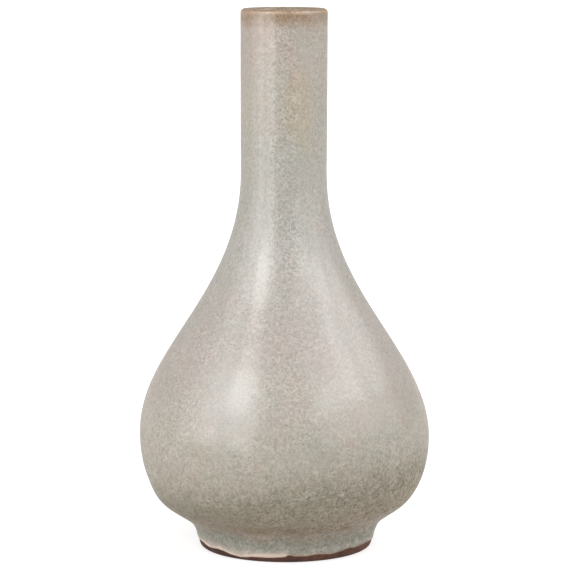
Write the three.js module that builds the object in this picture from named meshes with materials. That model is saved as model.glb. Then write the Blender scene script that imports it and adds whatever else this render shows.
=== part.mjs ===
// A small celadon bottle vase: a pear-shaped belly, a long straight neck and a low foot, in millimetres.
// It stands on the plane z = 0 with its axis on Z.
//
// The pot is built as a potter builds it. Four sections of stoneware, the foot ring, the belly, the
// shoulder and the neck, are thrown one by one and luted together with a layer of slip at each joint.
// Coats of glaze lie over the clay outside, over the lip, inside and under the base, and an iron-brown
// wash dresses the bare edge that the vase stands on. Every layer is its own closed solid.
import * as THREE from "three";

// The outside of the fired vase
const HEIGHT = 200;
const FOOT_RADIUS = 30.4; // outer edge of the standing face
const FOOT_EDGE_ROUND = 1.8;
const FOOT_LEAN = 15; // degrees that the foot's wall leans outwards as it rises
const BELLY_RADIUS = 54;
const BELLY_HEIGHT = 42; // where the belly is widest
const NECK_RADIUS = 15.9;
const NECK_ROOT_HEIGHT = 140.5; // where the sweep from the shoulder ends
const MOUTH_RADIUS = 16.05; // the neck opens a little towards the lip
const LIP_THICKNESS = 3.2; // clay and both coats of glaze

// Where the hollow over the foot turns into the belly: shares of the way out and up from the
// foot's wall to the widest point, and the slope there in degrees above the horizon
const TURN_OUT = 0.519;
const TURN_UP = 0.354;
const TURN_SLOPE = 34.4;

// How full the curves are: the pull at the lower and upper end of each stretch of the outline,
// as shares of the straight line between its ends
const FOOT_PULL = [0.535, 0.527];
const UNDERSIDE_PULL = [0.25, 0.45];
const SHOULDER_PULL = [0.303, 0.438];
const NECK_PULL = [0.34, 0.34];
const BOWL_PULL = [0.2, 0.5]; // the bowl inside, at the wall and at the axis

// The clay
const BELLY_WALL = 4.5;
const NECK_WALL = 3;
const FLOOR_THICKNESS = 6;
const FOOT_RING_WIDTH = 7; // standing face and both rounded edges
const FOOT_JOINT_HEIGHT = 8.4; // the middle of each luted joint
const NECK_JOINT_HEIGHT = 118;
const JOINT_SLIP = 0.8;
const JOINT_BEVEL = 3; // a wall joint's inner edge lies this much higher than its outer edge

// The coats
const OUTER_GLAZE = 0.8;
const INNER_GLAZE = 0.5;
const BASE_GLAZE = 0.6;
const LIP_GLAZE = 0.35; // the glaze runs thin over the lip
const IRON_WASH = 0.3;
const GLAZE_LINE_HEIGHT = 2.1; // where the outer glaze ends above the standing plane
const GLAZE_LINE_THINNING = 4; // the coat thins to its end over this height
const LIP_LINE_DEPTH = 4; // how far the thin glaze reaches down from the lip, outside and inside
const LIP_THINNING = 12; // clay and coats thin over this height below the lip line
const WASH_RISE = 3; // how far the wash climbs the inside of the foot ring
const BASE_COVE = 2; // the base glaze pools in the corner under the floor

// Fineness of the solids
const ROUND_SIDES = 32;
const FACET_TURN = 10; // degrees that the outline may turn from one ring to the next
const FACET_LENGTH = 20;
const TURN_SAMPLES = 16; // where turning is measured between two marks
const ARC_STEPS = 4;
const BOWL_STEPS = 6;
const HALVINGS = 40;
const SAME_POINT = 1e-6;

const { degToRad, radToDeg, lerp, smoothstep } = THREE.MathUtils;
const V = (radius, height) => new THREE.Vector2(radius, height);
const heading = (degrees) => V(Math.cos(degToRad(degrees)), Math.sin(degToRad(degrees)));
const UP = heading(90);

// A cubic stretch between two points, leaving and arriving along two directions
function stretch(from, leaving, to, arriving, [leavePull, arrivePull]) {
  const reach = from.distanceTo(to);
  const first = from.clone().addScaledVector(leaving, reach * leavePull);
  const second = to.clone().addScaledVector(arriving, -reach * arrivePull);
  return new THREE.CubicBezierCurve(from, first, second, to);
}

const lipRound = LIP_THICKNESS / 2;
const lipCentre = V(MOUTH_RADIUS - lipRound, HEIGHT - lipRound);
const edgeCentre = V(FOOT_RADIUS, FOOT_EDGE_ROUND);
const wallFoot = edgeCentre.clone().addScaledVector(heading(-FOOT_LEAN), FOOT_EDGE_ROUND);
const widest = V(BELLY_RADIUS, BELLY_HEIGHT);
const turn = V(lerp(wallFoot.x, widest.x, TURN_OUT), lerp(wallFoot.y, widest.y, TURN_UP));
const neckRoot = V(NECK_RADIUS, NECK_ROOT_HEIGHT);
const mouth = V(MOUTH_RADIUS, lipCentre.y);

// The fired outline, from the foot's rounded edge to the lip
const outline = [
  stretch(wallFoot, heading(90 - FOOT_LEAN), turn, heading(TURN_SLOPE), FOOT_PULL),
  stretch(turn, heading(TURN_SLOPE), widest, UP, UNDERSIDE_PULL),
  stretch(widest, UP, neckRoot, UP, SHOULDER_PULL),
  stretch(neckRoot, UP, mouth, UP, NECK_PULL),
];

// The outline's point and outward direction at a height, found by halving
function outlineAt(height) {
  const curve = outline.find(({ v3 }) => height <= v3.y);
  let low = 0;
  let high = 1;
  for (let i = 0; i < HALVINGS; i++) {
    const middle = (low + high) / 2;
    if (curve.getPoint(middle).y < height) low = middle;
    else high = middle;
  }
  const tangent = curve.getTangent(high);
  return { point: curve.getPoint(high), outward: V(tangent.y, -tangent.x) };
}

// The heights of the joints and lines that the layers share
const jointEdges = (height) => [height - JOINT_SLIP / 2, height + JOINT_SLIP / 2];
const [footJointLow, footJointHigh] = jointEdges(FOOT_JOINT_HEIGHT);
const [bodyJointLow, bodyJointHigh] = jointEdges(BELLY_HEIGHT);
const [neckJointLow, neckJointHigh] = jointEdges(NECK_JOINT_HEIGHT);
const lipLine = HEIGHT - LIP_LINE_DEPTH;

// How many facets lie between two heights, from how far the outline turns and rises there
function facetCount(from, to) {
  let turned = 0;
  for (let i = 0; i < TURN_SAMPLES; i++) {
    const here = outlineAt(lerp(from, to, i / TURN_SAMPLES)).outward;
    const next = outlineAt(lerp(from, to, (i + 1) / TURN_SAMPLES)).outward;
    turned += radToDeg(here.angleTo(next));
  }
  return Math.ceil(Math.max(turned / FACET_TURN, (to - from) / FACET_LENGTH));
}

// The heights at which every layer has a ring, so that layers that touch share their rings
function makeStations() {
  const wallJoints = [bodyJointLow, bodyJointHigh, neckJointLow, neckJointHigh];
  const bevelled = wallJoints.map((height) => height + JOINT_BEVEL);
  const below = [wallFoot.y, GLAZE_LINE_HEIGHT, footJointLow, footJointHigh, turn.y];
  const above = [...wallJoints, ...bevelled, BELLY_HEIGHT, lipLine - LIP_THINNING, lipLine];
  const marks = [...below, ...above, mouth.y].sort((a, b) => a - b);
  const stations = marks.slice(1).flatMap((mark, i) => {
    const count = facetCount(marks[i], mark);
    return Array.from({ length: count }, (_, k) => lerp(marks[i], mark, k / count));
  });
  return [...stations, mouth.y];
}

const stations = makeStations();

// How far the wall has come, from 0 to 1, in thinning towards the lip
const towardsLip = (height) => smoothstep(height, lipLine - LIP_THINNING, lipLine);

// Thicknesses at a height on the outline, from the outside in
const lipClay = LIP_THICKNESS - 2 * LIP_GLAZE;

function outerCoat(height) {
  const end = GLAZE_LINE_HEIGHT;
  const coat = lerp(IRON_WASH, OUTER_GLAZE, smoothstep(height, end, end + GLAZE_LINE_THINNING));
  return lerp(coat, LIP_GLAZE, towardsLip(height));
}

function clayWall(height) {
  const wall = lerp(BELLY_WALL, NECK_WALL, smoothstep(height, BELLY_HEIGHT, NECK_ROOT_HEIGHT));
  return lerp(wall, lipClay, towardsLip(height));
}

const innerCoat = (height) => lerp(INNER_GLAZE, LIP_GLAZE, towardsLip(height));

// The four faces of the wall, as depths under the fired outline
const skin = () => 0;
const clayFace = outerCoat;
const innerClay = (height) => outerCoat(height) + clayWall(height);
const innerSkin = (height) => innerClay(height) + innerCoat(height);

function facePoint(face, height) {
  const { point, outward } = outlineAt(height);
  return point.addScaledVector(outward, -face(height));
}

// The points of one face between two heights, upwards or downwards
function run(face, from, to) {
  const rising = from < to;
  const [low, high] = rising ? [from, to] : [to, from];
  const within = stations.filter((h) => h > low - SAME_POINT && h < high + SAME_POINT);
  return (rising ? within : within.reverse()).map((height) => facePoint(face, height));
}

// Points on an arc, its ends included, in degrees from the outward horizontal
function arc(centre, radius, from, to) {
  return Array.from({ length: ARC_STEPS + 1 }, (_, i) =>
    centre.clone().addScaledVector(heading(lerp(from, to, i / ARC_STEPS)), radius),
  );
}

const underside = facePoint(clayFace, footJointHigh).y;
const ringTop = facePoint(clayFace, footJointLow).y;

// The floor inside the bowl, from the wall to the axis, with glaze of a given depth on its clay
function bowl(depth) {
  const wall = facePoint(innerClay, turn.y);
  const centre = V(0, underside + FLOOR_THICKNESS);
  const curve = stretch(wall, heading(180 + TURN_SLOPE), centre, heading(180), BOWL_PULL);
  const points = Array.from({ length: BOWL_STEPS }, (_, i) => {
    const tangent = curve.getTangent(i / BOWL_STEPS);
    return curve.getPoint(i / BOWL_STEPS).addScaledVector(V(tangent.y, -tangent.x), depth);
  });
  return [...points, V(0, centre.y + depth)];
}

// The foot ring's bore and the rounds of its standing edge, under the wash and over it
const bore = FOOT_RADIUS + FOOT_EDGE_ROUND - FOOT_RING_WIDTH;
const innerEdgeCentre = V(bore + FOOT_EDGE_ROUND, FOOT_EDGE_ROUND);

function standingEdge(radius) {
  return [
    ...arc(innerEdgeCentre, radius, 180, 270),
    ...arc(edgeCentre, radius, -90, -FOOT_LEAN).slice(0, -1),
  ];
}

const clayEdge = standingEdge(FOOT_EDGE_ROUND - IRON_WASH);
const washTop = [V(bore, WASH_RISE), V(bore + IRON_WASH, WASH_RISE)];

const footRing = () => [
  ...clayEdge,
  ...run(clayFace, wallFoot.y, footJointLow),
  V(bore, ringTop),
  ...washTop,
];

const ironWash = () => [
  ...standingEdge(FOOT_EDGE_ROUND),
  ...run(skin, wallFoot.y, GLAZE_LINE_HEIGHT),
  ...run(clayFace, GLAZE_LINE_HEIGHT, wallFoot.y),
  ...clayEdge.toReversed(),
  ...washTop.toReversed(),
];

const footJointSlip = () => [
  ...run(clayFace, footJointLow, footJointHigh),
  V(bore, underside),
  V(bore, ringTop),
];

const belly = () => [
  V(0, underside),
  ...run(clayFace, footJointHigh, bodyJointLow),
  ...run(innerClay, bodyJointLow + JOINT_BEVEL, turn.y),
  ...bowl(0),
];

// A section of wall between two bevelled joints
const wallSection = (low, high) => [
  ...run(clayFace, low, high),
  ...run(innerClay, high + JOINT_BEVEL, low + JOINT_BEVEL),
];

const neck = () => [
  ...run(clayFace, neckJointHigh, mouth.y),
  ...arc(lipCentre, lipClay / 2, 0, 180),
  ...run(innerClay, mouth.y, neckJointHigh + JOINT_BEVEL),
];

const outerGlaze = () => [
  ...run(skin, GLAZE_LINE_HEIGHT, lipLine),
  ...run(clayFace, lipLine, GLAZE_LINE_HEIGHT),
];

const lipGlaze = () => [
  ...run(skin, lipLine, mouth.y),
  ...arc(lipCentre, lipRound, 0, 180),
  ...run(innerSkin, mouth.y, lipLine),
  ...run(innerClay, lipLine, mouth.y),
  ...arc(lipCentre, lipClay / 2, 180, 0),
  ...run(clayFace, mouth.y, lipLine),
];

const innerGlaze = () => [
  ...bowl(0).reverse(),
  ...run(innerClay, turn.y, lipLine),
  ...run(innerSkin, lipLine, turn.y),
  ...bowl(INNER_GLAZE),
];

function baseGlaze() {
  const cove = V(bore - BASE_COVE, underside - BASE_GLAZE - BASE_COVE);
  return [
    V(0, underside - BASE_GLAZE),
    ...arc(cove, BASE_COVE, 90, 0),
    V(bore, underside),
    V(0, underside),
  ];
}

// Colours of the glaze, the clay and the iron-brown foot
const coat = (color, roughness) =>
  new THREE.MeshStandardMaterial({ color, roughness, metalness: 0 });
const celadon = coat(0xb9b3a5, 0.35);
const lipTan = coat(0xb59a7c, 0.4);
const buffClay = coat(0xc9ad94, 0.9);
const paleSlip = coat(0xd2bda6, 0.95);
const ironBrown = coat(0x573730, 0.75);

// Turns a profile into a closed solid. A profile off the axis closes on itself.
function turned(name, profile, material) {
  const distinct = profile.filter((p, i) => i === 0 || p.distanceTo(profile[i - 1]) > SAME_POINT);
  const onAxis = distinct[0].x === 0;
  const points = onAxis ? distinct : [...distinct, distinct[0].clone()];
  const mesh = new THREE.Mesh(new THREE.LatheGeometry(points, ROUND_SIDES), material);
  mesh.name = name;
  return mesh;
}

const vase = new THREE.Group();
vase.rotation.x = degToRad(90); // a lathe turns round Y, and the vase stands along Z
vase.add(
  turned("foot_ring", footRing(), buffClay),
  turned("foot_joint_slip", footJointSlip(), paleSlip),
  turned("belly", belly(), buffClay),
  turned("body_joint_slip", wallSection(bodyJointLow, bodyJointHigh), paleSlip),
  turned("shoulder", wallSection(bodyJointHigh, neckJointLow), buffClay),
  turned("neck_joint_slip", wallSection(neckJointLow, neckJointHigh), paleSlip),
  turned("neck", neck(), buffClay),
  turned("iron_wash", ironWash(), ironBrown),
  turned("outer_glaze", outerGlaze(), celadon),
  turned("lip_glaze", lipGlaze(), lipTan),
  turned("inner_glaze", innerGlaze(), celadon),
  turned("base_glaze", baseGlaze(), celadon),
);

export default vase;
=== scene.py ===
import math
from collections import namedtuple

import bpy
import numpy as np
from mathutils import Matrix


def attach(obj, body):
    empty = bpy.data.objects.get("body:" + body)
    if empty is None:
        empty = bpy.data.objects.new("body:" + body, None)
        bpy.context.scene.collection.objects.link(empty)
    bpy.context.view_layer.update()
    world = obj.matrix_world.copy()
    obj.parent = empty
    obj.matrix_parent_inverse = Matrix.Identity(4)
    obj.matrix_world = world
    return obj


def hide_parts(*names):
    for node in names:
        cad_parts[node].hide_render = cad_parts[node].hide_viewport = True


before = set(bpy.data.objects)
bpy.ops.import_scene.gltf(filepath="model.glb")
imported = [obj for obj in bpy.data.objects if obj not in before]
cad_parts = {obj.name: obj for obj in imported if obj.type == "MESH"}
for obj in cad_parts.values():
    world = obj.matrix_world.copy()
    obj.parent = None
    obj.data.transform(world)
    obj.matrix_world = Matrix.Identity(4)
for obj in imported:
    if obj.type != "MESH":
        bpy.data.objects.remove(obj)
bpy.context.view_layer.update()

# The vase is dressed layer by layer: clay, slip, glaze and iron wash are turned finely on the
# outline of the solids, and settled together as a hand-thrown pot settles in the kiln.
# Lengths are millimetres up to the making of each mesh, which is in metres.

MM = 0.001

# The fired outline, with the sizes of the solids
HEIGHT = 200.0
FOOT_RADIUS = 30.4
FOOT_EDGE_ROUND = 1.8
FOOT_LEAN = 15.0
BELLY_RADIUS = 54.0
BELLY_HEIGHT = 42.0
NECK_RADIUS = 15.9
NECK_ROOT_HEIGHT = 140.5
MOUTH_RADIUS = 16.05
LIP_THICKNESS = 3.2
TURN_OUT = 0.519
TURN_UP = 0.354
TURN_SLOPE = 34.4
FOOT_PULL = (0.535, 0.527)
UNDERSIDE_PULL = (0.25, 0.45)
SHOULDER_PULL = (0.303, 0.438)
NECK_PULL = (0.34, 0.34)
BOWL_PULL = (0.2, 0.5)

# Clay, slip and coats, also as in the solids
BELLY_WALL = 4.5
NECK_WALL = 3.0
FLOOR_THICKNESS = 6.0
FOOT_RING_WIDTH = 7.0
FOOT_JOINT_HEIGHT = 8.4
NECK_JOINT_HEIGHT = 118.0
JOINT_SLIP = 0.8
JOINT_BEVEL = 3.0
OUTER_GLAZE = 0.8
INNER_GLAZE = 0.5
BASE_GLAZE = 0.6
LIP_GLAZE = 0.35
IRON_WASH = 0.3
GLAZE_LINE_HEIGHT = 2.1
GLAZE_LINE_THINNING = 4.0
LIP_LINE_DEPTH = 4.0
LIP_THINNING = 12.0
WASH_RISE = 3.0
BASE_COVE = 2.0

# Fineness of the dressed layers: sides round the axis, millimetres from row to row, and steps
# along curves
SIDES = 256
HIDDEN_SIDES = 96
ROW = 0.8
FOOT_ROW = 0.35
WASH_ROW = 0.2
RING_ROW = 0.5
LIP_ROW = 0.3
INSIDE_ROW = 1.5
HIDDEN_ROW = 3.0
CURVE_STEPS = 600
EDGE_STEPS = 60
ARC_STEPS = 10
BOWL_STEPS = 40


def heading(degrees):
    return np.array([math.cos(math.radians(degrees)), math.sin(math.radians(degrees))])


def stretch(start, leaving, end, arriving, pulls, steps=CURVE_STEPS):
    """Points and unit directions along a cubic between two points."""
    reach = np.linalg.norm(end - start)
    first = start + leaving * reach * pulls[0]
    second = end - arriving * reach * pulls[1]
    t = np.linspace(0, 1, steps)[:, None]
    s = 1 - t
    points = s**3 * start + 3 * s**2 * t * first + 3 * s * t**2 * second + t**3 * end
    slopes = s**2 * (first - start) + 2 * s * t * (second - first) + t**2 * (end - second)
    return points, slopes / np.linalg.norm(slopes, axis=1, keepdims=True)


UP = heading(90)
LIP_ROUND = LIP_THICKNESS / 2
lip_centre = np.array([MOUTH_RADIUS - LIP_ROUND, HEIGHT - LIP_ROUND])
edge_centre = np.array([FOOT_RADIUS, FOOT_EDGE_ROUND])
wall_foot = edge_centre + FOOT_EDGE_ROUND * heading(-FOOT_LEAN)
widest = np.array([BELLY_RADIUS, BELLY_HEIGHT])
turn = wall_foot + (widest - wall_foot) * np.array([TURN_OUT, TURN_UP])
neck_root = np.array([NECK_RADIUS, NECK_ROOT_HEIGHT])
mouth = np.array([MOUTH_RADIUS, lip_centre[1]])
turn_heading = heading(TURN_SLOPE)

# The rounded edge of the foot comes first, so that the outline starts on the standing plane
edge_turns = np.radians(np.linspace(-90, -FOOT_LEAN, EDGE_STEPS))
edge_out = np.stack([np.cos(edge_turns), np.sin(edge_turns)], axis=-1)
stretches = [
    (edge_centre + FOOT_EDGE_ROUND * edge_out, np.stack([-edge_out[:, 1], edge_out[:, 0]], -1)),
    stretch(wall_foot, heading(90 - FOOT_LEAN), turn, turn_heading, FOOT_PULL),
    stretch(turn, turn_heading, widest, UP, UNDERSIDE_PULL),
    stretch(widest, UP, neck_root, UP, SHOULDER_PULL),
    stretch(neck_root, UP, mouth, UP, NECK_PULL),
]
outline = np.concatenate([points for points, _ in stretches])
outline_slopes = np.concatenate([slopes for _, slopes in stretches])


def smooth(value, low, high):
    """0 below low, 1 above high and a smooth step between."""
    t = np.clip((value - low) / (high - low), 0, 1)
    return t * t * (3 - 2 * t)


def blend(a, b, share):
    return a + (b - a) * share


def joint_edges(height):
    return height - JOINT_SLIP / 2, height + JOINT_SLIP / 2


foot_joint = joint_edges(FOOT_JOINT_HEIGHT)
body_joint = joint_edges(BELLY_HEIGHT)
neck_joint = joint_edges(NECK_JOINT_HEIGHT)
lip_line = HEIGHT - LIP_LINE_DEPTH
lip_clay = LIP_THICKNESS - 2 * LIP_GLAZE
bore = FOOT_RADIUS + FOOT_EDGE_ROUND - FOOT_RING_WIDTH
inner_edge_centre = np.array([bore + FOOT_EDGE_ROUND, FOOT_EDGE_ROUND])


def towards_lip(height):
    return smooth(height, lip_line - LIP_THINNING, lip_line)


def clay_face(height):
    """Depth of the clay's outer face under the fired outline."""
    above_line = smooth(height, GLAZE_LINE_HEIGHT, GLAZE_LINE_HEIGHT + GLAZE_LINE_THINNING)
    return blend(blend(IRON_WASH, OUTER_GLAZE, above_line), LIP_GLAZE, towards_lip(height))


def inner_clay(height):
    """Depth of the clay's inner face."""
    wall = blend(BELLY_WALL, NECK_WALL, smooth(height, BELLY_HEIGHT, NECK_ROOT_HEIGHT))
    return clay_face(height) + blend(wall, lip_clay, towards_lip(height))


def inner_skin(height):
    """Depth of the inside coat's own face."""
    return inner_clay(height) + blend(INNER_GLAZE, LIP_GLAZE, towards_lip(height))


def skin(height):
    """Depth of the outermost face, which is the outline itself."""
    return np.zeros_like(height)


def face_points(face, heights):
    """Places of a face of the wall at heights on the outline, each a radius and a height."""
    radius = np.interp(heights, outline[:, 1], outline[:, 0])
    along_r = np.interp(heights, outline[:, 1], outline_slopes[:, 0])
    along_z = np.interp(heights, outline[:, 1], outline_slopes[:, 1])
    depth = face(heights)
    return np.stack([radius - along_z * depth, heights + along_r * depth], axis=-1)


def run(face, start, end, row):
    """Points along a face of the wall from one height to another."""
    count = max(2, math.ceil(abs(end - start) / row) + 1)
    return face_points(face, np.linspace(start, end, count))


def arc(centre, radius, start, end):
    """Points along an arc between two angles in degrees."""
    turns = np.radians(np.linspace(start, end, ARC_STEPS + 1))
    return centre + radius * np.stack([np.cos(turns), np.sin(turns)], axis=-1)


def point(radius, height):
    return np.array([[radius, height]])


underside = face_points(clay_face, np.array(foot_joint[1]))[1]
ring_top = face_points(clay_face, np.array(foot_joint[0]))[1]


def bowl(depth):
    """The floor inside the bowl, from the wall to the axis, with that much glaze on its clay."""
    wall = face_points(inner_clay, np.array(turn[1]))
    centre = np.array([0.0, underside + FLOOR_THICKNESS])
    points, slopes = stretch(
        wall, -turn_heading, centre, heading(180), BOWL_PULL, steps=BOWL_STEPS
    )
    glazed = points + depth * np.stack([slopes[:, 1], -slopes[:, 0]], axis=-1)
    glazed[-1] = (0, centre[1] + depth)
    return glazed


def standing_edge(radius):
    """The rounded edge that the pot stands on, from the bore outwards."""
    inner = arc(inner_edge_centre, radius, 180, 270)
    outer = arc(edge_centre, radius, -90, -FOOT_LEAN)
    return np.concatenate([inner, outer[:-1]])


# How the pot settled: its axis strays a little, its underside sags to the left, and thrown
# walls are never quite round. Walls shrink where they stray, so the pot gets no wider.
DRIFT_HEIGHTS = (0, 8, 20, 42, 60, 78, 112, 140, 200)
DRIFT = (0.5, 0.5, 0.3, 0.1, -0.35, -0.4, -0.3, -0.15, 0.0)
SAG = 1.0
SAG_HEIGHTS = (7.5, 13.5, 15.5, 27.0)
SAG_SIDE = (0.2, 1.0)
THROWING_PITCH = 8.5
THROWING_DEPTH = 0.012
OUT_OF_ROUND = 0.05
LOBE_TWIST = 31
LOBE_LENGTH = 17
STRAYING_HEIGHTS = (10, 40)
STEADY_CENTRE = (0, 10)


def settle(radius, height, angle):
    """The settled place of points on the turned form, in metres."""
    rings = np.sin(2 * np.pi * height / THROWING_PITCH + angle) - 1
    lobes = np.sin(2 * angle + height / LOBE_TWIST) * np.cos(height / LOBE_LENGTH) - 1
    strays = THROWING_DEPTH * rings + OUT_OF_ROUND * lobes
    strays = strays * smooth(height, *STRAYING_HEIGHTS)
    low, full, ebb, high = SAG_HEIGHTS
    leftwards = smooth(-np.cos(angle), *SAG_SIDE)
    sag = SAG * leftwards * smooth(height, low, full) * (1 - smooth(height, ebb, high))
    settled = radius + (strays + sag) * smooth(radius, *STEADY_CENTRE)
    x = settled * np.cos(angle) + np.interp(height, DRIFT_HEIGHTS, DRIFT)
    return np.stack([x, settled * np.sin(angle), height], axis=-1) * MM


def side_angles(sides):
    return np.arange(sides) * 2 * np.pi / sides


def lathe(profile):
    """Points and faces of a closed layer from its profile, by row and by side."""
    sides = profile.shape[1]
    grid = settle(profile[..., 0], profile[..., 1], side_angles(sides))
    on_axis = profile[0, 0, 0] == 0 and profile[-1, 0, 0] == 0
    rings = grid[1:-1] if on_axis else grid
    points = rings.reshape(-1, 3)
    starts = np.arange(len(rings)) * sides
    following = starts[1:] if on_axis else np.roll(starts, -1)
    ring = np.arange(sides)
    ahead = (ring + 1) % sides
    faces = []
    for low, high in zip(starts, following):
        quads = np.stack([low + ring, low + ahead, high + ahead, high + ring], axis=-1)
        faces.extend(quads.tolist())
    if on_axis:
        first, last = len(points), len(points) + 1
        points = np.concatenate([points, grid[0].mean(0)[None], grid[-1].mean(0)[None]])
        last_ring = np.stack([ring, ahead], axis=-1) + starts[-1]
        faces.extend([first, b, a] for a, b in zip(ring.tolist(), ahead.tolist()))
        faces.extend([last, a, b] for a, b in last_ring.tolist())
    return points.tolist(), faces


SHARP = 35  # degrees between faces at an edge that isn't smoothed over


def turned(name, node, material, profile, sides):
    """A piece turned from its profile of radius and height, one for each side or one for all."""
    if profile.ndim == 2:
        profile = np.repeat(profile[:, None, :], sides, axis=1)
    points, faces = lathe(profile)
    mesh = bpy.data.meshes.new(name)
    mesh.from_pydata(points, [], faces)
    mesh.polygons.foreach_set("use_smooth", [True] * len(mesh.polygons))
    mesh.set_sharp_from_angle(angle=math.radians(SHARP))
    mesh.materials.append(material)
    piece = bpy.data.objects.new(name, mesh)
    bpy.context.scene.collection.objects.link(piece)
    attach(piece, "root")
    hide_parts(node)
    return piece


# Materials


def colour(code):
    """A colour written as six hexadecimal digits, as linear RGBA."""
    parts = [int(code[i : i + 2], 16) / 255 for i in (0, 2, 4)]
    linear = [p / 12.92 if p <= 0.04045 else ((p + 0.055) / 1.055) ** 2.4 for p in parts]
    return (*linear, 1.0)


def add_node(tree, kind, inputs=None, **settings):
    """A node with its settings, and with its inputs linked or set."""
    node = tree.nodes.new(kind)
    for name, value in settings.items():
        setattr(node, name, value)
    for socket, value in (inputs or {}).items():
        if isinstance(value, bpy.types.NodeSocket):
            tree.links.new(value, node.inputs[socket])
        else:
            node.inputs[socket].default_value = value
    return node


# Noise over a surface: its lumps in millimetres, detail, roughness, a shift that sets it apart,
# the levels between which patches come up in it, and how it is stretched along X, Y and Z
Noise = namedtuple(
    "Noise", "size detail roughness shift levels stretched", defaults=((0.0, 1.0), (1, 1, 1))
)


class Graph:
    """A material's node tree, written as expressions. Places are in millimetres."""

    def __init__(self, name):
        self.material = bpy.data.materials.new(name)
        self.material.use_nodes = True
        self.tree = self.material.node_tree
        self.shader = self.tree.nodes["Principled BSDF"]
        place = self.add("ShaderNodeTexCoord").outputs["Object"]
        self.place = self.vector("SCALE", place, scale=1 / MM)
        parts = self.add("ShaderNodeSeparateXYZ", {0: self.place}).outputs
        self.across, self.deep, self.height = parts["X"], parts["Y"], parts["Z"]

    def add(self, kind, inputs=None, **settings):
        return add_node(self.tree, kind, inputs, **settings)

    def vector(self, operation, a, b=None, scale=None):
        inputs = {0: a}
        if b is not None:
            inputs[1] = b
        if scale is not None:
            inputs["Scale"] = scale
        return self.add("ShaderNodeVectorMath", inputs, operation=operation).outputs[0]

    def math(self, operation, a, b=0.0):
        return self.add("ShaderNodeMath", {0: a, 1: b}, operation=operation).outputs[0]

    def both(self, *shares):
        """The product of several shares."""
        product = shares[0]
        for share in shares[1:]:
            product = self.math("MULTIPLY", product, share)
        return product

    def step(self, value, levels, results=(0.0, 1.0)):
        """Eases between two results as the value goes from one level to the other."""
        inputs = {0: value, 1: levels[0], 2: levels[1], 3: results[0], 4: results[1]}
        return self.add(
            "ShaderNodeMapRange", inputs, interpolation_type="SMOOTHSTEP"
        ).outputs[0]

    def mix(self, share, a, b, kind="MIX"):
        inputs = {0: share, 6: a, 7: b}
        return self.add("ShaderNodeMix", inputs, data_type="RGBA", blend_type=kind).outputs[2]

    def shade(self, share, base, tint):
        return self.mix(share, base, tint, "MULTIPLY")

    def by_height(self, height, tones):
        """A colour that eases from tone to tone as the height goes up."""
        ramp = self.add("ShaderNodeValToRGB", {0: self.math("DIVIDE", height, HEIGHT)})
        elements = ramp.color_ramp.elements
        elements.remove(elements[1])
        lowest, code = tones[0]
        elements[0].position = lowest / HEIGHT
        elements[0].color = colour(code)
        for level, code in tones[1:]:
            elements.new(level / HEIGHT).color = colour(code)
        return ramp.outputs[0]

    def noise(self, pattern):
        """Soft noise around one half."""
        lumps = tuple(pattern.size * s for s in pattern.stretched)
        place = self.vector("DIVIDE", self.place, lumps)
        place = self.vector("ADD", place, (pattern.shift,) * 3)
        inputs = {
            "Vector": place,
            "Scale": 1.0,
            "Detail": pattern.detail,
            "Roughness": pattern.roughness,
        }
        return self.add("ShaderNodeTexNoise", inputs).outputs[0]

    def sway(self, pattern):
        """Soft noise around zero."""
        return self.math("SUBTRACT", self.noise(pattern), 0.5)

    def patches(self, pattern, results=(0.0, 1.0)):
        """Soft patches, from the first result between them to the second in them."""
        return self.step(self.noise(pattern), pattern.levels, results)

    def cells(self, size, shift=0.0):
        """Distance from the middle of scattered cells of about that many millimetres."""
        place = self.vector("SCALE", self.place, scale=1 / size)
        place = self.vector("ADD", place, (shift,) * 3)
        return self.add("ShaderNodeTexVoronoi", {"Vector": place, "Scale": 1.0}).outputs["Distance"]

    def away(self, centre, reach):
        """Distance from a place, as a share of the reach along each axis."""
        aside = self.vector("DIVIDE", self.vector("SUBTRACT", self.place, centre), reach)
        return self.add("ShaderNodeVectorMath", {0: aside}, operation="LENGTH").outputs["Value"]

    def bump(self, height, depth, under=None):
        """A normal over bumps of that many millimetres, on top of another normal if given."""
        inputs = {"Height": height, "Strength": 1.0, "Distance": depth * MM}
        if under is not None:
            inputs["Normal"] = under
        return self.add("ShaderNodeBump", inputs).outputs[0]

    def finish(self, varied, uniform):
        """Links what varies over the surface, and sets what is alike all over on its own socket."""
        for socket, value in varied.items():
            self.tree.links.new(value, self.shader.inputs[socket])
        for socket, value in uniform.items():
            self.shader.inputs[socket].default_value = value
        return self.material


# In the glaze's steps below, heights are over the standing plane and places across are to the
# right of the axis. A pair of them is where a change starts and where it is complete.

# The glaze's tone by height, from the foot to the lip, and how far its heights wander. Under the
# belly, from 14 to 24 mm, the tones are darker partly for the glaze's own olive and partly as
# painted shade under the overhang. The tone at 11 mm is lighter as painted light in the hollow
# above the foot.
TONES = (
    (4.0, "a69f91"),
    (7.0, "959082"),
    (9.0, "948975"),
    # Lighter at 11 mm as painted light in the hollow; darker from 14 to 24 mm partly as painted
    # shade under the belly
    (11.0, "a49482"),
    (14.0, "928066"),
    (24.0, "877d67"),
    (36.0, "a69d8e"),
    (52.0, "b0a79c"),
    (85.0, "b0a7a0"),
    (100.0, "b0a8a0"),
    (112.0, "afaaa3"),
    (146.0, "a8a49a"),
    (162.0, "aaa398"),
    (178.0, "aca499"),
    (192.0, "ab9f94"),
)
WANDER = Noise(9, 3, 0.5, 3.1)
WANDER_REACH = 8.0

# The tones lie aslant on the neck and under the belly
NECK_SLANT = 0.7
NECK_SLANT_FROM = (120, 145)
LOW_SLANT = 0.12
LOW_SLANT_FROM = (12, 18)
LOW_SLANT_TO = (46, 34)


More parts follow.
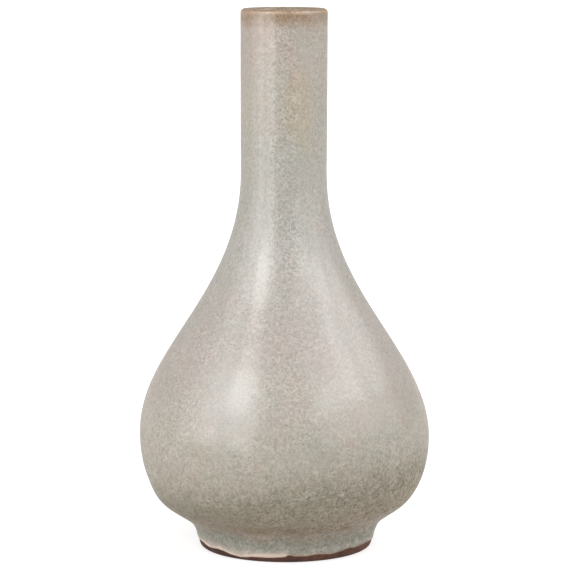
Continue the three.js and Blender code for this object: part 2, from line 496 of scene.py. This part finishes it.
def toned(g, height):
    """The glaze's tone by height, with its painted shade under the belly and painted light in the
    hollow above the foot.
    """
    low = g.both(g.step(g.height, LOW_SLANT_TO), g.step(g.height, LOW_SLANT_FROM), LOW_SLANT)
    slant = g.math("ADD", g.both(g.step(g.height, NECK_SLANT_FROM), NECK_SLANT), low)
    return g.by_height(g.math("SUBTRACT", height, g.both(slant, g.across)), TONES)


COOL = (0.95, 0.985, 0.975, 1)
COOL_CLOUDS = Noise(16, 4, 0.6, 0, (0.4, 0.62))
WARM = (1.03, 0.97, 0.93, 1)
WARM_CLOUDS = Noise(7, 4, 0.65, 7.7, (0.46, 0.68))
WARM_CLOUD_SHARE = 0.7
STREAKS = Noise(1.8, 3, 0.6, 5.3, (0.45, 0.7), (1, 1, 12))
STREAK_HEIGHTS = (110, 180)


def clouded(g, base, height):
    """Cool and warm clouds, and streaks where the glaze ran down the neck."""
    base = g.shade(g.patches(COOL_CLOUDS), base, COOL)
    base = g.shade(g.patches(WARM_CLOUDS, (0.0, WARM_CLOUD_SHARE)), base, WARM)
    return g.shade(g.both(g.patches(STREAKS), g.step(height, STREAK_HEIGHTS)), base, WARM)


SMEAR_TAN = (1.05, 0.985, 0.89, 1)
SMEAR_PLACE = (6.0, -14.5, 164)
SMEAR_REACH = (7.5, 8.0, 19.0)
SMEAR_EDGE = (1.0, 0.45)
SMEAR_RAG = Noise(5, 3, 0.6, 8.8, stretched=(1, 1, 2.5))
# Painted highlight: the cool, whitish tint of the key light's highlight on the left of the belly
PAINTED_HIGHLIGHT_COOL = (0.985, 1.0, 1.035, 1)
HIGHLIGHT_PLACE = (-20.5, -46, 60)
HIGHLIGHT_REACH = (13, 20, 19)
HIGHLIGHT_TINT_EDGE = (1.0, 0.3)


def smeared_and_highlight_cooled(g, base):
    """A ragged tan smear down the right of the neck, and a painted highlight: a cool tint on the
    left of the belly where the key light's highlight falls.
    """
    smeared = g.math("ADD", g.away(SMEAR_PLACE, SMEAR_REACH), g.sway(SMEAR_RAG))
    base = g.shade(g.step(smeared, SMEAR_EDGE), base, SMEAR_TAN)
    # Painted highlight: a cool tint where the key light's highlight falls on the left of the belly
    return g.shade(g.step(g.away(HIGHLIGHT_PLACE, HIGHLIGHT_REACH), HIGHLIGHT_TINT_EDGE), base, PAINTED_HIGHLIGHT_COOL)


LIP_WANDER = 0.25
OLIVE = colour("886b48")
OLIVE_HEIGHTS = (191.8, 197.6)
OLIVE_SHARE = 0.95
OLIVE_THIN_LEFT = (-14, -5)
OLIVE_LEFT_SHARE = 0.85
OLIVE_PATCHES = Noise(6, 3, 0.6, 2.2, (0.36, 0.6))
TAN = colour("b09278")
TAN_HEIGHTS = (197.9, 198.7)
TAN_PATCHES = Noise(4, 2, 0.5, 0, (0.35, 0.55))
LIP_THIN_SHARE = 0.6
CREST_BROWN = colour("957d68")
CREST_HEIGHTS = (199.1, 199.6)


def lipped(g, base, wander):
    """The lip: olive under a thin tan line, and a browner crest."""
    height = g.math("ADD", g.height, g.math("MULTIPLY", wander, LIP_WANDER))
    olive = g.both(
        g.patches(OLIVE_PATCHES, (LIP_THIN_SHARE, 1.0)),
        g.step(g.across, OLIVE_THIN_LEFT, (OLIVE_LEFT_SHARE, 1.0)),
        g.step(height, OLIVE_HEIGHTS, (0.0, OLIVE_SHARE)),
    )
    base = g.mix(olive, base, OLIVE)
    tan = g.both(g.step(height, TAN_HEIGHTS), g.patches(TAN_PATCHES, (LIP_THIN_SHARE, 1.0)))
    base = g.mix(tan, base, TAN)
    return g.mix(g.step(g.height, CREST_HEIGHTS), base, CREST_BROWN)


# Painted shade inside the mouth and down the bore of the neck
MOUTH_SHADE_BROWN = colour("927e69")
MOUTH_RADII = (15.5, 14.9)
MOUTH_WANDER = 0.12
MOUTH_HEIGHTS = (100, 150)


def inside_mouth(g, base, wander):
    """Darker brown inside the mouth and down the bore of the neck, as painted shade in the hollow.
    """
    squares = g.math("ADD", g.math("POWER", g.across, 2), g.math("POWER", g.deep, 2))
    radius = g.math("ADD", g.math("SQRT", squares), g.math("MULTIPLY", wander, MOUTH_WANDER))
    inside = g.both(g.step(radius, MOUTH_RADII), g.step(g.height, MOUTH_HEIGHTS))
    return g.mix(inside, base, MOUTH_SHADE_BROWN)


FOOT_COOL = (0.91, 0.96, 0.975, 1)
FOOT_COOL_HEIGHTS = (10.0, 8.0)
FOOT_COOL_RIGHT = (3, -7)
FOOT_COOL_LEFT = (-30, -24)


def cooled(g, base, height):
    """A cool patch low on the left, over the foot."""
    patch = g.both(
        g.step(height, FOOT_COOL_HEIGHTS),
        g.step(g.across, FOOT_COOL_RIGHT),
        g.step(g.across, FOOT_COOL_LEFT),
    )
    return g.shade(patch, base, FOOT_COOL)


# How strong the grain is: patchy all over; calm where the highlights fall on the left of the belly
# and on the belly's right, and strong up the front of the neck between them, which is painted
# highlight standing in for reflections that wash out the grain; strong under the belly too, and
# strongest low on the right
GRAIN_PATCHES = Noise(11, 3, 0.6, 9.1, (0.36, 0.64))
GRAIN_PATCHINESS = (0.75, 1.2)
NECK_FRONT = (6.5, 3.5)
NECK_GRAIN = (0.85, 1.4)
NECK_GRAIN_FROM = (90, 120)
BELLY_RIGHT = (10, 18)
BELLY_RIGHT_GRAIN = 0.8
HIGHLIGHT_CALM_EDGE = (1.1, 0.5)
HIGHLIGHT_GRAIN = 0.68
LOW_GRAIN_ACROSS = (-38, 25)
LOW_GRAIN = (1.2, 2.1)
LOW_GRAIN_FROM = (52, 28)


def grain_strength(g):
    patchy = g.patches(GRAIN_PATCHES, GRAIN_PATCHINESS)
    front = g.step(g.math("ABSOLUTE", g.across), NECK_FRONT)
    on_neck = g.step(front, (0, 1), NECK_GRAIN)
    # Painted highlight: weaker grain where the highlights fall on the belly's right and left,
    # stronger up the front of the neck between them
    on_right = g.step(g.across, BELLY_RIGHT, (1.0, BELLY_RIGHT_GRAIN))
    in_highlight = g.step(g.away(HIGHLIGHT_PLACE, HIGHLIGHT_REACH), HIGHLIGHT_CALM_EDGE, (1.0, HIGHLIGHT_GRAIN))
    above = g.step(g.height, NECK_GRAIN_FROM, (g.both(on_right, in_highlight), on_neck))
    below = g.step(g.across, LOW_GRAIN_ACROSS, LOW_GRAIN)
    return g.both(patchy, g.step(g.height, LOW_GRAIN_FROM, (above, below)))


SPECKLE = Noise(1.05, 3, 0.75, 6.3)
SPECKLE_SHARE = 0.9
RIDGES = Noise(1.7, 2, 0.5, 1.3)
WORM_WIDTH = (0.07, 0.01)
WORM_PALENESS = (-0.03, 0.18)
BLOTCHES = Noise(2.4, 2, 0.5, 2.9)
BLOTCH_HEIGHTS = (60, 30)
BLOTCH_SHARES = (0.1, 0.5)
GRAIN_TONE = 0.55
GRAIN_GREY = 0.17


def grained(g, base):
    """Fine speckle with pale worms in it, and blotches, mostly under the belly."""
    speckle = g.math("MULTIPLY", g.sway(SPECKLE), SPECKLE_SHARE)
    worms = g.step(g.math("ABSOLUTE", g.sway(RIDGES)), WORM_WIDTH, WORM_PALENESS)
    blotches = g.both(g.sway(BLOTCHES), g.step(g.height, BLOTCH_HEIGHTS, BLOTCH_SHARES))
    grain = g.math("ADD", g.math("ADD", speckle, worms), blotches)
    grain = g.math("MULTIPLY", grain, grain_strength(g))
    base = g.vector("SCALE", base, scale=g.math("ADD", 1.0, g.math("MULTIPLY", grain, GRAIN_TONE)))
    return g.vector("ADD", base, g.math("MULTIPLY", grain, GRAIN_GREY))


PIT_BROWN = colour("5e574b")
PIT_SPACING = 1.6
PIT_SHIFT = 4.0
PIT_SIZE = (0.17, 0.09)
PITTED = Noise(7, 2, 0.5, 1.7, (0.5, 0.6))
PIT_SHARE = 0.5
PORE_SPACING = 1.5
PORE_SHIFT = 6.6
PORE_SIZE = (0.27, 0.16)
PORES_RIGHT = (6, 2)
PORES_LEFT = (-6.5, -2.5)
PORES_FROM = (146, 158)
PORES_TO = (192, 184)
SOWN = Noise(4, 2, 0.5, 6.1, (0.38, 0.55))
PORE_SHARES = (0.2, 0.6)


def pitted(g, base):
    """Dark pits in patches, and more of them up the front of the neck."""
    pits = g.both(
        g.step(g.cells(PIT_SPACING, PIT_SHIFT), PIT_SIZE),
        g.patches(PITTED, (0.0, PIT_SHARE)),
    )
    base = g.mix(pits, base, PIT_BROWN)
    up_front = g.both(
        g.step(g.across, PORES_RIGHT),
        g.step(g.across, PORES_LEFT),
        g.step(g.height, PORES_FROM),
        g.step(g.height, PORES_TO),
    )
    pores = g.step(g.cells(PORE_SPACING, PORE_SHIFT), PORE_SIZE)
    return g.mix(g.both(pores, up_front, g.patches(SOWN, PORE_SHARES)), base, PIT_BROWN)


# The edge of the glaze over the foot, by the height over the line where the glaze stops
EDGE_CREAM = colour("efd8c8")
CREAM_SIDE = (2.5, 0.0)
HAZE_HEIGHTS = (3.6, 0.4)
HAZE_LEFT = (-31, -25)
HAZE_SHARES = (0.1, 0.5)
ROLL_HEIGHTS = (1.6, 0.7)
ROLLS = Noise(7, 2, 0.5, 4.4, (0.38, 0.62))
ROLL_UNEVENNESS = (0.7, 1.3)
EDGE_OLIVE = colour("9a8668")
EDGE_TAN = colour("c0a488")
OLIVE_TO_TAN = (20, 12)
OLIVE_EDGE_HEIGHTS = (1.1, 0.6)
OLIVE_EDGE_SHARE = 0.7


def edged(g, base):
    """The rolled edge where the glaze stops: cream on the left, tan and thin olive on the right."""
    edge = g.add("ShaderNodeAttribute", attribute_name="above_edge").outputs["Fac"]
    cream_side = g.step(g.across, CREAM_SIDE)
    olive_side = g.math("SUBTRACT", 1.0, cream_side)
    haze = g.both(g.step(edge, HAZE_HEIGHTS), cream_side, g.step(g.across, HAZE_LEFT, HAZE_SHARES))
    base = g.mix(haze, base, EDGE_CREAM)
    uneven = g.math("MULTIPLY", edge, g.patches(ROLLS, ROLL_UNEVENNESS))
    base = g.mix(g.both(g.step(uneven, ROLL_HEIGHTS), cream_side), base, EDGE_CREAM)
    thin = g.mix(g.step(g.across, OLIVE_TO_TAN), EDGE_OLIVE, EDGE_TAN)
    olive = g.both(g.step(edge, OLIVE_EDGE_HEIGHTS), olive_side, OLIVE_EDGE_SHARE)
    return g.mix(olive, base, thin)


SATIN = Noise(3.5, 3, 0.5, 0, (0.3, 0.7))
SATIN_ROUGHNESS = (0.5, 0.62)
WAVES = Noise(6.0, 2, 0.5, 0)
WAVE_DEPTH = 0.03
TOOTH = Noise(0.9, 2, 0.6, 0)
TOOTH_DEPTH = 0.04
GLOSS_TOOTH_DEPTH = 0.015
GLOSS = {
    "Specular IOR Level": 0.1,
    "Coat Weight": 0.19,
    "Coat IOR": 4.0,
    "Coat Roughness": 0.21,
}


def glossed(g, base):
    """A satin body under a thin gloss, with soft waves and a fine tooth."""
    waves = g.bump(g.noise(WAVES), WAVE_DEPTH)
    tooth = g.noise(TOOTH)
    varied = {
        "Base Color": base,
        "Roughness": g.patches(SATIN, SATIN_ROUGHNESS),
        "Normal": g.bump(tooth, TOOTH_DEPTH, waves),
        "Coat Normal": g.bump(tooth, GLOSS_TOOTH_DEPTH, waves),
    }
    return g.finish(varied, GLOSS)


def celadon(name):
    """Crackled satin glaze, built up from its tones to its gloss."""
    g = Graph(name)
    wander = g.math("MULTIPLY", g.sway(WANDER), WANDER_REACH)
    height = g.math("ADD", g.height, wander)
    base = toned(g, height)
    base = clouded(g, base, height)
    base = smeared_and_highlight_cooled(g, base)
    base = lipped(g, base, wander)
    base = inside_mouth(g, base, wander)
    base = cooled(g, base, height)
    base = grained(g, base)
    base = pitted(g, base)
    base = edged(g, base)
    return glossed(g, base)


CLOUDY = Noise(12, 3, 0.5, 0, (0.35, 0.65))
SPECK_SIZE = (0.3, 0.1)
SPECK_SHARE = 0.4
MATT = Noise(4, 2, 0.5, 0, (0.3, 0.7))
MATT_ROUGHNESS = (0.78, 0.92)
GRIT = Noise(0.8, 4, 0.5, 0)
GRIT_DEPTH = 0.08
CLAY_SPECKS = 0.9


def specked(g, body, speck, spacing):
    """A colour with clouds and specks of another."""
    base = g.mix(g.patches(CLOUDY), body, speck)
    return g.mix(g.step(g.cells(spacing), SPECK_SIZE, (0.0, SPECK_SHARE)), base, speck)


def matt(g, base):
    """A dry, gritty surface."""
    varied = {
        "Base Color": base,
        "Roughness": g.patches(MATT, MATT_ROUGHNESS),
        "Normal": g.bump(g.noise(GRIT), GRIT_DEPTH),
    }
    return g.finish(varied, {})


def clay(name, body, speck):
    """Unglazed clay or slip."""
    g = Graph(name)
    return matt(g, specked(g, colour(body), colour(speck), CLAY_SPECKS))


WASH_BROWN = colour("5a3931")
WASH_RUST = colour("6e4a3b")
WASH_SPECKS = 0.6
SCORCH_AND_SHADE = (0.52, 0.5, 0.44, 1)
SCORCHED = Noise(1.6, 3, 0.6, 2.7, (0.42, 0.6))
SCORCHED_SHARE = 0.45
DARKER_LEFT = (-14, -25)
CONTACT_SHADE_HEIGHTS = (1.2, 0.4)
CONTACT_SHADE_SHARE = 0.7


def wash(name):
    """Iron wash with scorched patches, darker on the left, and with painted shade along the
    standing edge where it meets the floor.
    """
    g = Graph(name)
    base = specked(g, WASH_BROWN, WASH_RUST, WASH_SPECKS)
    base = g.shade(g.patches(SCORCHED, (0.0, SCORCHED_SHARE)), base, SCORCH_AND_SHADE)
    base = g.shade(g.step(g.across, DARKER_LEFT), base, SCORCH_AND_SHADE)
    # Painted shade: darker along the standing edge, where the wash meets the floor
    base = g.shade(g.step(g.height, CONTACT_SHADE_HEIGHTS, (0.0, CONTACT_SHADE_SHARE)), base, SCORCH_AND_SHADE)
    return matt(g, base)


celadon_glaze = celadon("celadon_glaze")
lip_glaze = celadon("lip_glaze")
inner_glaze = celadon("inner_glaze")
stoneware = clay("stoneware", "c9ad94", "b08a6c")
slip = clay("slip", "d2bda6", "c0a48a")
iron_wash = wash("iron_wash")

# The coats

# Where the glaze stops round the foot: degrees from the front to the right, and height
EDGE_WANDER = (
    (-180, 2.3), (-150, 1.9), (-120, 2.2), (-90, 2.5), (-76, 3.1), (-67, 3.0), (-61, 2.1),
    (-56, 2.3), (-49, 2.7), (-45, 2.35), (-40, 1.8), (-36, 1.45), (-31, 1.15), (-26, 1.25),
    (-22, 1.8), (-14, 1.75), (-8, 1.75), (-5, 2.1), (0.5, 2.25), (2, 3.0), (6, 2.4), (14, 2.35),
    (22, 2.75), (27, 2.45), (31, 2.25), (36, 2.45), (41, 3.0), (46, 3.4), (51, 2.85), (58, 3.3),
    (68, 3.25), (80, 2.7), (90, 2.3), (120, 2.4), (150, 2.0), (180, 2.3),
)
# Finer ripples in it: depth, how many round the foot, and the phase in radians
EDGE_RIPPLES = ((0.05, 23, 0), (0.04, 41, 1))
# How far up from it the rows of the coat still follow it
EDGE_REACH = 12.0

# The rolled bead along it: its height, how far it stands out, and where the coat is level again
BEAD = 0.7
BEAD_PROUD = 0.25
BEAD_EBB = 3.5
BEAD_STEPS = 8

# How high the fine rows outside go, and how many rows the back of the coat has
FOOT_ROWS_TO = 16
COAT_BACK_ROWS = 60

# How far the iron wash runs up under the glaze
WASH_UNDER_GLAZE = 1.8


def edge_heights(sides):
    """The glaze line's height at each side of the pot. The front is along -Y."""
    degrees = np.degrees(side_angles(sides)) + 90
    degrees = (degrees + 180) % 360 - 180
    places, heights = zip(*EDGE_WANDER)
    ripple = sum(
        depth * np.sin(np.radians(degrees) * count + start)
        for depth, count, start in EDGE_RIPPLES
    )
    return np.interp(degrees, places, heights) + ripple


def following_line(rows, line):
    """Heights at each side for rows that follow the glaze line near it."""
    fade = 1 - smooth(rows, GLAZE_LINE_HEIGHT, GLAZE_LINE_HEIGHT + EDGE_REACH)
    return rows[:, None] + fade[:, None] * (line - GLAZE_LINE_HEIGHT)


def mark_edge(piece, heights):
    """Marks each point of a coat with its height over the glaze line."""
    attribute = piece.data.attributes.new("above_edge", "FLOAT", "POINT")
    attribute.data.foreach_set("value", heights)


def outer_coat():
    """The coat outside, with its rolled bead along the wandering glaze line."""
    line = edge_heights(SIDES)
    bead_turns = np.linspace(0, np.pi / 2, BEAD_STEPS + 1)[:-1]
    rows = np.concatenate([
        GLAZE_LINE_HEIGHT + BEAD * (1 - np.cos(bead_turns)),
        np.arange(GLAZE_LINE_HEIGHT + BEAD, FOOT_ROWS_TO, FOOT_ROW),
        np.linspace(FOOT_ROWS_TO, lip_line, math.ceil((lip_line - FOOT_ROWS_TO) / ROW)),
    ])
    heights = following_line(rows, line)
    above = heights - line
    rounding = np.sqrt(np.clip(1 - (1 - np.clip(above / BEAD, 0, 1)) ** 2, 0, 1))
    proud = BEAD_PROUD * rounding * (1 - smooth(above, BEAD, BEAD_EBB))
    outer = face_points(lambda _: (1 - rounding) * IRON_WASH - proud, heights)
    back_rows = np.linspace(lip_line, GLAZE_LINE_HEIGHT, COAT_BACK_ROWS)
    back_heights = following_line(back_rows, line)
    back = face_points(clay_face, back_heights)
    profile = np.concatenate([outer, back])
    coat = turned("glaze_coat", "outer_glaze", celadon_glaze, profile, SIDES)
    mark_edge(coat, np.concatenate([above, back_heights - line]).ravel())


def plain_coat(name, node, material, profile):
    """A coat that has no glaze line near it."""
    coat = turned(name, node, material, profile, SIDES)
    mark_edge(coat, [HEIGHT] * len(coat.data.vertices))


def lip_coat():
    """The thin coat over the lip and into the mouth."""
    profile = np.concatenate([
        run(skin, lip_line, mouth[1], LIP_ROW),
        arc(lip_centre, LIP_ROUND, 0, 180)[1:-1],
        run(inner_skin, mouth[1], lip_line, LIP_ROW),
        run(inner_clay, lip_line, mouth[1], LIP_ROW),
        arc(lip_centre, lip_clay / 2, 180, 0)[1:-1],
        run(clay_face, mouth[1], lip_line, LIP_ROW),
    ])
    plain_coat("lip_coat", "lip_glaze", lip_glaze, profile)


def inside_coat():
    """The coat inside, over the wall and the bowl's floor."""
    profile = np.concatenate([
        bowl(0)[::-1],
        run(inner_clay, turn[1], lip_line, HIDDEN_ROW)[1:],
        run(inner_skin, lip_line, turn[1], INSIDE_ROW),
        bowl(INNER_GLAZE)[1:],
    ])
    plain_coat("inside_coat", "inner_glaze", inner_glaze, profile)


def base_coat():
    """The coat under the floor, with a cove where it meets the foot ring."""
    cove_centre = np.array([bore - BASE_COVE, underside - BASE_GLAZE - BASE_COVE])
    profile = np.concatenate([
        point(0, underside - BASE_GLAZE),
        arc(cove_centre, BASE_COVE, 90, 0),
        point(bore, underside),
        point(0, underside),
    ])
    plain_coat("base_coat", "base_glaze", inner_glaze, profile)


def foot_wash():
    """The wash, which runs up under the edge of the glaze."""
    wash_top = GLAZE_LINE_HEIGHT + WASH_UNDER_GLAZE
    profile = np.concatenate([
        standing_edge(FOOT_EDGE_ROUND),
        run(skin, wall_foot[1], wash_top, WASH_ROW),
        run(clay_face, wash_top, wall_foot[1], WASH_ROW),
        standing_edge(FOOT_EDGE_ROUND - IRON_WASH)[::-1],
        point(bore + IRON_WASH, WASH_RISE),
        point(bore, WASH_RISE),
    ])
    turned("foot_wash", "iron_wash", iron_wash, profile, SIDES)


# The clay and the slip


def foot_ring():
    profile = np.concatenate([
        standing_edge(FOOT_EDGE_ROUND - IRON_WASH),
        run(clay_face, wall_foot[1], foot_joint[0], RING_ROW),
        point(bore, ring_top),
        point(bore, WASH_RISE),
        point(bore + IRON_WASH, WASH_RISE),
    ])
    turned("foot_ring_clay", "foot_ring", stoneware, profile, SIDES)


def foot_slip():
    profile = np.concatenate([
        run(clay_face, *foot_joint, HIDDEN_ROW),
        point(bore, underside),
        point(bore, ring_top),
    ])
    turned("foot_slip", "foot_joint_slip", slip, profile, SIDES)


def belly():
    profile = np.concatenate([
        point(0, underside),
        run(clay_face, foot_joint[1], body_joint[0], HIDDEN_ROW),
        run(inner_clay, body_joint[0] + JOINT_BEVEL, turn[1], HIDDEN_ROW),
        bowl(0)[1:],
    ])
    turned("belly_clay", "belly", stoneware, profile, HIDDEN_SIDES)


def section(name, node, slot, material, low, high):
    """A stretch of the wall between two bevelled joints."""
    profile = np.concatenate([
        run(clay_face, low, high, HIDDEN_ROW),
        run(inner_clay, high + JOINT_BEVEL, low + JOINT_BEVEL, HIDDEN_ROW),
    ])
    turned(name, node, material, profile, HIDDEN_SIDES)


def neck():
    profile = np.concatenate([
        run(clay_face, neck_joint[1], mouth[1], HIDDEN_ROW),
        arc(lip_centre, lip_clay / 2, 0, 180)[1:-1],
        run(inner_clay, mouth[1], neck_joint[1] + JOINT_BEVEL, HIDDEN_ROW),
    ])
    turned("neck_clay", "neck", stoneware, profile, HIDDEN_SIDES)


outer_coat()
lip_coat()
inside_coat()
base_coat()
foot_wash()
foot_ring()
foot_slip()
belly()
section("body_slip", "body_joint_slip", "slip", slip, *body_joint)
section("shoulder_clay", "shoulder", "stoneware", stoneware, body_joint[1], neck_joint[0])
section("neck_slip", "neck_joint_slip", "slip", slip, *neck_joint)
neck()

# The studio, in metres

FLOOR_REACH = 30.0
FLOOR_GREY = (0.55, 0.55, 0.55, 1)
# The floor's own white near the vase, where the lamps add to it, and from where to where it
# turns fully white
FLOOR_WHITE = 0.7
FLOOR_LIT_REACH = (0.3, 1.0)
AMBIENT = 0.5


def seen_not_lit(tree):
    """1 for rays that see the backdrop, from the camera or off gloss and glass, and 0 for light."""
    path = add_node(tree, "ShaderNodeLightPath").outputs
    seen = path["Is Camera Ray"]
    for ray in ("Is Glossy Ray", "Is Transmission Ray"):
        either = {0: seen, 1: path[ray]}
        seen = add_node(tree, "ShaderNodeMath", either, operation="MAXIMUM").outputs[0]
    return seen


def floor_material():
    """Pale and lit, so that it takes the vase's shadow, and white to the rays that see it."""
    material = bpy.data.materials.new("floor")
    material.use_nodes = True
    tree = material.node_tree
    tree.nodes.clear()
    lit = add_node(tree, "ShaderNodeBsdfDiffuse", {"Color": FLOOR_GREY}).outputs[0]
    place = add_node(tree, "ShaderNodeTexCoord").outputs["Object"]
    away = add_node(tree, "ShaderNodeVectorMath", {0: place}, operation="LENGTH").outputs["Value"]
    near, far = FLOOR_LIT_REACH
    levels = {0: away, 1: near, 2: far, 3: FLOOR_WHITE, 4: 1.0}
    white_level = add_node(tree, "ShaderNodeMapRange", levels).outputs[0]
    shares = {0: seen_not_lit(tree), 1: white_level}
    strength = add_node(tree, "ShaderNodeMath", shares, operation="MULTIPLY").outputs[0]
    white = add_node(tree, "ShaderNodeEmission", {"Strength": strength}).outputs[0]
    both = add_node(tree, "ShaderNodeAddShader", {0: lit, 1: white}).outputs[0]
    add_node(tree, "ShaderNodeOutputMaterial", {"Surface": both})
    return material


def make_floor():
    mesh = bpy.data.meshes.new("floor")
    corners = ((-1, -1), (1, -1), (1, 1), (-1, 1))
    points = [(x * FLOOR_REACH, y * FLOOR_REACH, 0) for x, y in corners]
    mesh.from_pydata(points, [], [(0, 1, 2, 3)])
    mesh.materials.append(floor_material())
    floor = bpy.data.objects.new("floor", mesh)
    bpy.context.scene.collection.objects.link(floor)


def make_world():
    """White to the rays that see it, and an even light of its own."""
    world = bpy.data.worlds.new("studio")
    world.use_nodes = True
    bpy.context.scene.world = world
    tree = world.node_tree
    tree.nodes.clear()
    levels = {0: seen_not_lit(tree), 3: AMBIENT, 4: 1.0}
    strength = add_node(tree, "ShaderNodeMapRange", levels).outputs[0]
    back = add_node(tree, "ShaderNodeBackground", {"Strength": strength}).outputs[0]
    add_node(tree, "ShaderNodeOutputWorld", {"Surface": back})


LAMP_DISTANCE = 1.3
LAMP_AIM = 0.09

# Name, degrees to the camera's right, degrees up, width and height in metres, and watts
SOFTBOXES = (
    ("key", -36, 21, 0.61, 1.36, 5.3),
    ("key_top", -43, 40, 0.38, 0.52, 1.64),
    ("wing", -62, 20, 0.46, 1.2, 3.6),
    ("far_wing", -83, 24, 0.46, 1.41, 1.8),
    ("fill", 53, 29, 1.25, 1.28, 4.1),
    ("fill_middle", 58, 36, 1.0, 0.32, 1.6),
    ("far_fill", 91, 23, 0.82, 1.02, 1.9),
    ("fill_top", 82, 53, 0.41, 0.34, 1.9),
    ("rim", 110, 33, 0.8, 0.5, 1.7),
)


def softbox(name, azimuth, elevation, width, height, power):
    """A soft light aimed at the pot's shoulder."""
    light = bpy.data.lights.new(name, "AREA")
    light.shape = "RECTANGLE"
    light.size = width
    light.size_y = height
    light.energy = power
    lamp = bpy.data.objects.new(name, light)
    a, e = math.radians(azimuth), math.radians(elevation)
    away = LAMP_DISTANCE * math.cos(e)
    rise = LAMP_DISTANCE * math.sin(e)
    lamp.location = (away * math.sin(a), -away * math.cos(a), LAMP_AIM + rise)
    lamp.rotation_euler = (math.pi / 2 - e, 0, a)
    bpy.context.scene.collection.objects.link(lamp)


# The photograph's view: lens and sensor in millimetres, place, and degrees that it looks down
CAMERA_LENS = 175
CAMERA_SENSOR = 36
CAMERA_PLACE = (0.0003, -1.0177, 0.2365)
CAMERA_DOWN = 7.76


def make_camera():
    camera = bpy.data.cameras.new("camera")
    camera.lens = CAMERA_LENS
    camera.sensor_width = CAMERA_SENSOR
    view = bpy.data.objects.new("camera", camera)
    view.location = CAMERA_PLACE
    view.rotation_euler = (math.radians(90 - CAMERA_DOWN), 0, 0)
    bpy.context.scene.collection.objects.link(view)
    bpy.context.scene.camera = view


make_floor()
make_world()
for lamp in SOFTBOXES:
    softbox(*lamp)
make_camera()
bpy.context.scene.view_settings.view_transform = "Standard"
